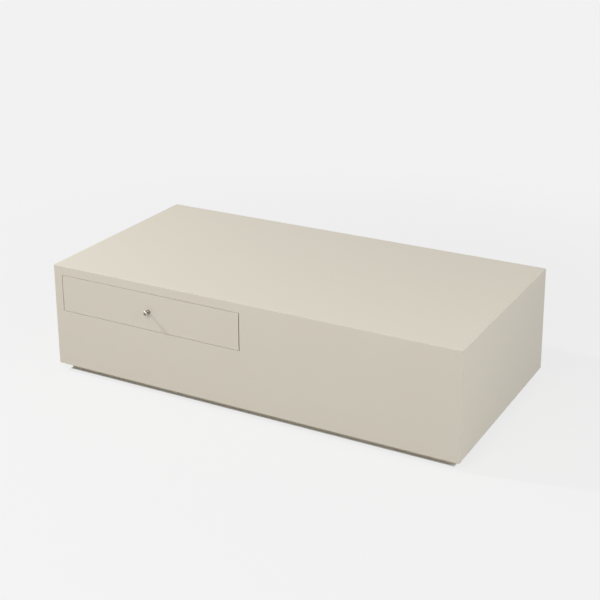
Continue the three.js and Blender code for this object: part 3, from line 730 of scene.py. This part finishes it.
for depth in (outer_low.y, inner_low.y):
    cells = [f for f in case_bm.faces if lies_on(f, Y, depth) and in_bay(f.calc_center_median())]
    bmesh.ops.delete(case_bm, geom=cells, context="FACES")
reveal = bmesh.ops.bridge_loops(case_bm, edges=[e for e in case_bm.edges if e.is_boundary])["faces"]
print("opening edges:", len(reveal), "open edges left:", sum(e.is_boundary for e in case_bm.edges))

# %% [markdown]
# Outside, the case is cream, and inside it is bare board with the drift of lacquer. The opening's edges lie
# in the front's own thickness, before the inner box, so they come out cream too.
#
# The arrises were broken with fine paper before spraying: a little under a millimetre on the outside of the
# case, and less round the drawer's opening. They are small, but they draw the faint light lines along the
# table's edges, and without them lacquer looks like card.

# %% Case edges and finish
OUTSIDE = 0
INSIDE = 1
ARRIS = 0.7 * MM
OPENING_ARRIS = 0.5 * MM


def round_edges(bm, edges, radius, segments=3):
    bmesh.ops.bevel(bm, geom=edges, offset=radius, offset_type="OFFSET", segments=segments, profile=0.5,
                    affect="EDGES", clamp_overlap=True, material=-1)


def outer_edge(edge):
    sides = [lies_on(edge, axis, box[axis]) for axis in (X, Y, Z) for box in (outer_low, outer_high)]
    return sum(sides) == 2


def opening_edge(edge):
    lines = [lies_on(edge, axis, box[axis]) for axis in (X, Z) for box in (bay_low, bay_high)]
    middle = (edge.verts[0].co + edge.verts[1].co) / 2
    return lies_on(edge, Y, outer_low.y) and any(lines) and in_bay(middle)


for face in case_bm.faces:
    deep = within(face.calc_center_median(), inner_low, inner_high, (X, Y, Z))
    face.material_index = INSIDE if deep else OUTSIDE
round_edges(case_bm, [e for e in case_bm.edges if opening_edge(e)], OPENING_ARRIS)
round_edges(case_bm, [e for e in case_bm.edges if outer_edge(e)], ARRIS, 4)
case = finish_piece("table_case", case_bm, "case", (cream_lacquer, drifted_board),
                    ("top_panel", "left_end_panel", "right_end_panel", "front_panel", "back_panel"))
print("case faces:", len(case.data.polygons))

# %% [markdown]
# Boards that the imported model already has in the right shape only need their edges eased. A copy of the
# node's mesh is merged, its flat faces are joined again, and its long outer edges are rounded: half a
# millimetre where paint is to hold, and a hair where a saw left them.

# %% Eased boards
WELD = HAIR / 10
FLAT = math.radians(1)
LONG_EDGE = 20 * MM
SAWN_EDGE = 0.3 * MM
PAINTED_EDGE = 0.5 * MM
finish_slots = {part["node"]: part["material_slot"] for part in frame["record"]["subparts"]}


def copied_mesh(node):
    bm = bmesh.new()
    bm.from_mesh(frame["nodes"][node].data)
    bmesh.ops.remove_doubles(bm, verts=bm.verts, dist=WELD)
    bmesh.ops.dissolve_limit(bm, angle_limit=FLAT, verts=bm.verts, edges=bm.edges)
    return bm


def long_outer_edges(bm):
    long_edges = [e for e in bm.edges if e.calc_length() > LONG_EDGE]
    return [e for e in long_edges if e.is_convex and e.calc_face_angle(0) > CREASE]


def finish_for_node(node, suffix, bm, finish):
    body = frame["nodes"][node]["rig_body"]
    return finish_piece(node + suffix, bm, body, (finish,), (node,))


def eased_board(node, finish, radius):
    bm = copied_mesh(node)
    round_edges(bm, long_outer_edges(bm), radius, 2)
    return finish_for_node(node, "_eased", bm, finish)


for node in ("bottom_panel", "drawer_shelf", "support_rib", "drawer_partition", "plinth_centre_rail"):
    eased_board(node, bare_board, SAWN_EDGE)
for side in ("front", "back"):
    for end in ("left", "right"):
        eased_board(f"{side}_{end}_glue_block", bare_board, SAWN_EDGE)
# The plinth rails take the darkened cream, which is painted shade for their recess under the overhang.
for side in ("front", "back", "left", "right"):
    rail = eased_board(f"plinth_{side}_rail", plinth_lacquer, PAINTED_EDGE)
print("plinth rail:", len(rail.data.polygons), "faces")

# %% [markdown]
# The drawer is a dovetailed birch box with a lacquered front screwed to it. Hands reach over its upper
# edges, so only those are rounded on the four sides: the dovetails have to stay sharp to close up. The
# bottom is thin board that was sawn and slid into its grooves.

# %% Drawer
HAND_EDGE = 1.5 * MM
THIN_EDGE = 0.2 * MM


def drawer_side(node, finish):
    bm = copied_mesh(node)
    top = max(v.co.z for v in bm.verts)
    round_edges(bm, [e for e in long_outer_edges(bm) if lies_on(e, Z, top)], HAND_EDGE)
    return finish_for_node(node, "_eased", bm, finish)


drawer_front = eased_board("drawer_front", cream_lacquer, PAINTED_EDGE)
for node, wood in (("drawer_left_side", birch_deep), ("drawer_right_side", birch_deep),
                   ("drawer_inner_front", birch_across), ("drawer_back", birch_across)):
    drawer_side(node, wood)
eased_board("drawer_bottom", birch_across, THIN_EDGE)
print("drawer front:", len(drawer_front.data.polygons), "faces")

# %% [markdown]
# The knob is turned from bar, so it is an outline spun round its own axis. Its foot sits flat on the drawer
# front, a hollow curve draws in to a thin neck, and the head swells again to a nearly flat face with a
# rounded rim. In the photograph the rim catches the lamp at the upper left while the face below it stays
# dark, which tells the flat face from a ball. The outline is a chain of arcs, each given by its centre, its
# two radii and the angles it runs through.

# %% Knob outline
knob_low, knob_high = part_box("drawer_knob")
knob_middle = (knob_low + knob_high) / 2
PROJECTION = knob_high.y - knob_low.y
HEAD_RADIUS = (knob_high.x - knob_low.x) / 2
HEAD_HALF = 3.5 * MM
HEAD_RIM = 3.3 * MM
HEAD_RIM_TURN = 84
FACE_CROWN = 0.45 * MM
FACE_RADIUS = HEAD_RADIUS - HEAD_RIM
FACE_EDGE = PROJECTION - FACE_CROWN
NECK_RADIUS = 3.1 * MM
NECK_FILLET = 3 * MM
FOOT_RADIUS = 6.2 * MM
FOOT_THICKNESS = 2.2 * MM
FOOT_RIM = 0.6 * MM
FOOT_FLAT = FOOT_RADIUS - FOOT_RIM
RIM_STEPS = 4
CURVE_STEPS = 12
HEAD_RIM_STEPS = 10
FACE_STEPS = 8


def arc(centre, radii, start, end, steps):
    angles = [math.radians(start + (end - start) * i / steps) for i in range(steps + 1)]
    return [(centre[0] + radii[0] * math.cos(a), centre[1] + radii[1] * math.sin(a)) for a in angles]


head_start = -math.degrees(math.acos(NECK_RADIUS / HEAD_RADIUS))
knob_outline = [(0, 0)]
knob_outline += arc((FOOT_FLAT, FOOT_RIM), (FOOT_RIM, FOOT_RIM), -90, 0, RIM_STEPS)
knob_outline += arc((FOOT_FLAT, FOOT_THICKNESS - FOOT_RIM), (FOOT_RIM, FOOT_RIM), 0, 90, RIM_STEPS)
knob_outline += arc((FOOT_FLAT, FOOT_THICKNESS + NECK_FILLET), (FOOT_FLAT - NECK_RADIUS, NECK_FILLET),
                    -90, -180, CURVE_STEPS)
knob_outline += arc((0, PROJECTION - HEAD_HALF), (HEAD_RADIUS, HEAD_HALF), head_start, 0, CURVE_STEPS)
knob_outline += arc((FACE_RADIUS, FACE_EDGE - HEAD_RIM), (HEAD_RIM, HEAD_RIM),
                    0, HEAD_RIM_TURN, HEAD_RIM_STEPS)
knob_outline += arc((0, FACE_EDGE), (FACE_RADIUS, FACE_CROWN), 0, 90, FACE_STEPS)
print("knob outline:", len(knob_outline), "points")

# %% [markdown]
# Fingers and cloths rub the smoked tone off the head's rim and leave the flat face dark. So the pale plate
# is mixed in by two measures: how far a place is from the knob's axis, and how far behind the face. The
# first keeps it off the face and the second off the neck and foot.

# %% Worn rim
WORN_BAND = 1.2 * MM
BARE_PLATE = "C6C1B6"

worn_nickel = nickel.copy()
worn_nickel.name = "smoked_nickel_worn_at_the_rim"
tree = worn_nickel.node_tree
place = add_node(tree, "ShaderNodeTexCoord").outputs["Object"]
from_axis = add_node(tree, "ShaderNodeVectorMath",
                     {"operation": "SUBTRACT", 1: (knob_middle.x, 0, knob_middle.z)}, {0: place})
across = add_node(tree, "ShaderNodeVectorMath", {"operation": "MULTIPLY", 1: (1, 0, 1)},
                  {0: from_axis.outputs["Vector"]})
reach = add_node(tree, "ShaderNodeVectorMath", {"operation": "LENGTH"}, {0: across.outputs["Vector"]})
past_face = add_node(tree, "ShaderNodeMapRange", {
    "interpolation_type": "SMOOTHSTEP",
    "From Min": FACE_RADIUS,
    "From Max": HEAD_RADIUS - WORN_BAND,
}, {"Value": reach.outputs["Value"]})
behind = add_node(tree, "ShaderNodeSeparateXYZ", links={"Vector": place})
on_head = add_node(tree, "ShaderNodeMapRange", {
    "From Min": knob_low.y + HEAD_HALF,
    "From Max": knob_low.y + HEAD_HALF + WORN_BAND,
    "To Min": 1.0,
    "To Max": 0.0,
}, {"Value": behind.outputs["Y"]})
wear = add_node(tree, "ShaderNodeMath", {"operation": "MULTIPLY"},
                {0: past_face.outputs["Result"], 1: on_head.outputs["Result"]})
shader = next(n for n in tree.nodes if n.type == "BSDF_PRINCIPLED")
smoked = shader.inputs["Base Color"].links[0].from_socket
bared = add_node(tree, "ShaderNodeMix", {"data_type": "RGBA", SECOND_COLOUR: linear(BARE_PLATE)},
                 {MIX_SHARE: wear.outputs[0], FIRST_COLOUR: smoked})
tree.links.new(bared.outputs[MIXED_COLOUR], shader.inputs["Base Color"])
print("made", worn_nickel.name)

# %% [markdown]
# The outline is spun in 64 steps, because a polished metal shows every facet. A full spin leaves its first
# and last outline on each other and many points on the axis, so they are merged, and the faces are turned
# outwards at the end. It is drawn round the upright axis and then laid over to face the front.

# %% Knob
KNOB_STEPS = 64
towards_front = Matrix.Rotation(math.radians(90), 3, "X")


def spin_outline(bm, outline, steps):
    verts = [bm.verts.new((r, 0, z)) for r, z in outline]
    edges = [bm.edges.new(pair) for pair in zip(verts, verts[1:])]
    bmesh.ops.spin(bm, geom=verts + edges, cent=(0, 0, 0), axis=(0, 0, 1), angle=math.tau, steps=steps,
                   use_merge=True)
    bmesh.ops.remove_doubles(bm, verts=bm.verts, dist=WELD)


def put_in_place(bm, turn, place):
    bmesh.ops.transform(bm, matrix=Matrix.Translation(place) @ turn.to_4x4(), verts=bm.verts)
    bmesh.ops.recalc_face_normals(bm, faces=bm.faces)


knob_bm = bmesh.new()
spin_outline(knob_bm, knob_outline, KNOB_STEPS)
put_in_place(knob_bm, towards_front, Vector((knob_middle.x, knob_high.y, knob_middle.z)))
knob = finish_piece("turned_knob", knob_bm, "drawer", (worn_nickel,), ("drawer_knob",))
print("knob:", len(knob.data.polygons), "faces")

# %% [markdown]
# The cross recess is what the eye looks for on a screw. A small grid makes it without a boolean: of nine
# cells the four corner ones go, and the plus that is left is pushed into the head and drawn together at the
# bottom.

# %% Cross recess
RECESS_REACH_SHARE = 0.52
RECESS_WIDTH_SHARE = 0.2
RECESS_DEPTH_SHARE = 0.75
RECESS_FLOOR_SHARE = 0.55


def cross_recess(bm, head_radius, head_height):
    reach = head_radius * RECESS_REACH_SHARE
    half_width = head_radius * RECESS_WIDTH_SHARE / 2
    for vert in bmesh.ops.create_grid(bm, x_segments=3, y_segments=3, size=reach)["verts"]:
        for axis in (X, Y):
            if abs(vert.co[axis]) < reach / 2:
                vert.co[axis] = math.copysign(half_width, vert.co[axis])
    corners = [f for f in bm.faces if all(abs(v) > half_width for v in f.calc_center_median()[:2])]
    bmesh.ops.delete(bm, geom=corners, context="FACES")
    plus = list(bm.faces)
    pushed = bmesh.ops.extrude_face_region(bm, geom=plus)["geom"]
    floor_verts = [v for v in pushed if isinstance(v, bmesh.types.BMVert)]
    bmesh.ops.scale(bm, vec=(RECESS_FLOOR_SHARE, RECESS_FLOOR_SHARE, 1), verts=floor_verts)
    bmesh.ops.translate(bm, vec=(0, 0, -head_height * RECESS_DEPTH_SHARE), verts=floor_verts)
    bmesh.ops.delete(bm, geom=plus, context="FACES")
    return [e for e in bm.edges if e.is_boundary]


print("recess depth is", RECESS_DEPTH_SHARE, "of the head's height")

# %% [markdown]
# The screws and the knob's bolt. Each has a flat-topped head with a rounded rim, a plain shank and a point
# or a square end, so its outline is spun like the knob's. The outline stops short of the axis at the top,
# and bridging the recess's rim to that innermost ring closes the head.

# %% Screws and bolt
SCREW = {"shank_radius": 1.7 * MM, "head_radius": 3.4 * MM, "head_height": 1.1 * MM, "point": 3 * MM}
BOLT = {"shank_radius": 2 * MM, "head_radius": 3.8 * MM, "head_height": 2.4 * MM, "point": 0}
SCREW_STEPS = 24
SCREW_RIM_STEPS = 5
HEAD_ROUND_SHARE = 0.45
TIP_SHARE = 0.2
RING_SHARE = 0.78


def crossed_screw(node, towards, shank_radius, head_radius, head_height, point):
    low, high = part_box(node)
    length = abs((high - low).dot(towards))
    rim = head_height * HEAD_ROUND_SHARE
    tip_radius = shank_radius * TIP_SHARE if point else shank_radius
    outline = [(0, -length), (tip_radius, -length), (shank_radius, -length + point)]
    outline += [(shank_radius, -head_height), (head_radius, -head_height)]
    outline += arc((head_radius - rim, -rim), (rim, rim), 0, 90, SCREW_RIM_STEPS)
    outline += [(head_radius * RING_SHARE, 0)]
    bm = bmesh.new()
    plus_rim = cross_recess(bm, head_radius, head_height)
    spin_outline(bm, outline, SCREW_STEPS)
    ring = [e for e in bm.edges if e.is_boundary and e not in plus_rim]
    bmesh.ops.bridge_loops(bm, edges=plus_rim + ring)
    turn = Vector((0, 0, 1)).rotation_difference(towards).to_matrix()
    put_in_place(bm, turn, (low + high) / 2 + towards * length / 2)
    return finish_for_node(node, "_crossed", bm, zinc_screw)


for side, into_bay in (("left", 1), ("right", -1)):
    for number in (1, 2, 3):
        crossed_screw(f"{side}_cabinet_screw_{number}", Vector((into_bay, 0, 0)), **SCREW)
        crossed_screw(f"{side}_drawer_screw_{number}", Vector((-into_bay, 0, 0)), **SCREW)
    crossed_screw(f"{side}_front_screw", Vector((0, 1, 0)), **SCREW)
bolt = crossed_screw("knob_bolt", Vector((0, 1, 0)), **BOLT)
print("bolt:", len(bolt.data.polygons), "faces")

# %% [markdown]
# The runners are strip steel rolled to shape, and each ball race is part of a round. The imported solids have
# these forms with few faces, so a merged copy is smooth-shaded and given a small live bevel, which draws a
# thin light line along the sheared edges. The levers are eased the same way. The bevel goes before the
# weighted normals, because those have to see its faces.

# %% Runners and levers
SHEARED_EDGE = 0.12 * MM
MOULDED_EDGE = 0.25 * MM


def softened_copy(node, suffix, finish, width, segments=2):
    piece = finish_for_node(node, suffix, copied_mesh(node), finish)
    bevel = piece.modifiers.new("eased", "BEVEL")
    bevel.width = width
    bevel.segments = segments
    bevel.limit_method = "ANGLE"
    bevel.angle_limit = CREASE
    bevel.harden_normals = True
    piece.modifiers.move(1, 0)
    return piece


for side in ("left", "right"):
    for member in ("cabinet", "middle", "drawer"):
        softened_copy(f"{side}_{member}_runner", "_rolled", zinc_strip, SHEARED_EDGE)
    lever = softened_copy(f"{side}_release_lever", "_moulded", black_acetal, MOULDED_EDGE, 3)
print("lever:", len(lever.data.polygons), "faces before its bevel")

# %% [markdown]
# The washer under the bolt's head is punched round, so it is spun like the knob. Its outline goes round the
# ring's own section, with the four corners eased, and ends where it starts.

# %% Washer
WASHER_STEPS = 48
WASHER_HOLE = 2.2 * MM
WASHER_EASE = 0.2 * MM
EASE_STEPS = 3
washer_low, washer_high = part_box("knob_washer")
washer_middle = (washer_low + washer_high) / 2
outer = (washer_high.z - washer_low.z) / 2 - WASHER_EASE
inner = WASHER_HOLE + WASHER_EASE
upper = washer_high.y - washer_low.y - WASHER_EASE
corners = ((outer, WASHER_EASE), (outer, upper), (inner, upper), (inner, WASHER_EASE))
washer_outline = []
for number, corner in enumerate(corners):
    washer_outline += arc(corner, (WASHER_EASE, WASHER_EASE), 90 * number - 90, 90 * number, EASE_STEPS)
washer_outline += washer_outline[:1]
washer_bm = bmesh.new()
spin_outline(washer_bm, washer_outline, WASHER_STEPS)
put_in_place(washer_bm, towards_front, Vector((washer_middle.x, washer_high.y, washer_middle.z)))
washer = finish_for_node("knob_washer", "_pressed", washer_bm, zinc_screw)
print("washer:", len(washer.data.polygons), "faces")

# %% [markdown]
# The balls. Each cage holds two rows of eight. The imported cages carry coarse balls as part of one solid, so
# a finer, polished ball is laid over each one and rides with its cage. All balls of a cage are one piece,
# since nothing moves them against each other.

# %% Balls
BALLS_IN_ROW = 8
CAGE_LENGTH = 200 * MM
BALL_COVER_SHARE = 1.02
BALL_SIDES = 20
BALL_RINGS = 12
OUTER_BALLS = {"from_wall": 7.098 * MM, "above": 19.6 * MM, "radius": 1.75 * MM}
INNER_BALLS = {"from_wall": 9.708 * MM, "above": 15.873 * MM, "radius": 1.5 * MM}
ball_height = sum(v.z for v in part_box("left_middle_runner")) / 2


def ball_rows(name, wall, inwards, from_wall, above, radius):
    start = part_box(name)[0].y
    bm = bmesh.new()
    for number in range(BALLS_IN_ROW):
        along = start + CAGE_LENGTH * (number + 0.5) / BALLS_IN_ROW
        for way in (-1, 1):
            place = Vector((wall + inwards * from_wall, along, ball_height + way * above))
            bmesh.ops.create_uvsphere(bm, u_segments=BALL_SIDES, v_segments=BALL_RINGS,
                                      radius=radius * BALL_COVER_SHARE, matrix=Matrix.Translation(place))
    return finish_piece(name.replace("_cage", "s"), bm, name, (ball_steel,))


for side, wall, inwards in (("left", left_high.x, 1), ("right", partition_side, -1)):
    ball_rows(f"{side}_outer_ball_cage", wall, inwards, **OUTER_BALLS)
    balls = ball_rows(f"{side}_inner_ball_cage", wall, inwards, **INNER_BALLS)
print("one cage's balls:", len(balls.data.polygons), "faces")

# %% [markdown]
# The glides are discs punched from thick felt. The punch rolls the upper edge over and leaves the lower one
# a little loose, so each is a spun outline with a wider rounding at the floor.

# %% Glides
GLIDE_STEPS = 48
GLIDE_TOP_EDGE = 0.3 * MM
GLIDE_FLOOR_EDGE = 0.7 * MM
TOP_EDGE_STEPS = 4
FLOOR_EDGE_STEPS = 6
upright = Matrix.Identity(3)
for edge in ("front", "back"):
    for end in ("left", "centre", "right"):
        node = f"{edge}_{end}_glide"
        low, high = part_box(node)
        middle = (low + high) / 2
        radius = (high.x - low.x) / 2
        height = high.z - low.z
        outline = [(0, 0)]
        outline += arc((radius - GLIDE_FLOOR_EDGE, GLIDE_FLOOR_EDGE), (GLIDE_FLOOR_EDGE,) * 2,
                       -90, 0, FLOOR_EDGE_STEPS)
        outline += arc((radius - GLIDE_TOP_EDGE, height - GLIDE_TOP_EDGE), (GLIDE_TOP_EDGE,) * 2,
                       0, 90, TOP_EDGE_STEPS)
        outline += [(0, height)]
        bm = bmesh.new()
        spin_outline(bm, outline, GLIDE_STEPS)
        put_in_place(bm, upright, Vector((middle.x, middle.y, low.z)))
        glide = finish_for_node(node, "_punched", bm, wool_felt)
print("glide:", len(glide.data.polygons), "faces")

# %% [markdown]
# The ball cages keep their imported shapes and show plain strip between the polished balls. Every other node
# that is now hidden behind a piece takes its finish too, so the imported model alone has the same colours.

# %% Carried-over nodes
slot_finish = {
    "zinc_steel": zinc_strip,
    "screw_steel": zinc_screw,
    "ball_steel": cage_steel,
    "lever_plastic": black_acetal,
    "glide_felt": wool_felt,
    "board": bare_board,
    "birch": birch_across,
    "lacquer": cream_lacquer,
    "plinth_lacquer": plinth_lacquer,
    "nickel": nickel,
}
for node, part in frame["nodes"].items():
    part.material_slots[0].material = slot_finish[finish_slots[node]]
print("finished", len(frame["nodes"]), "nodes")
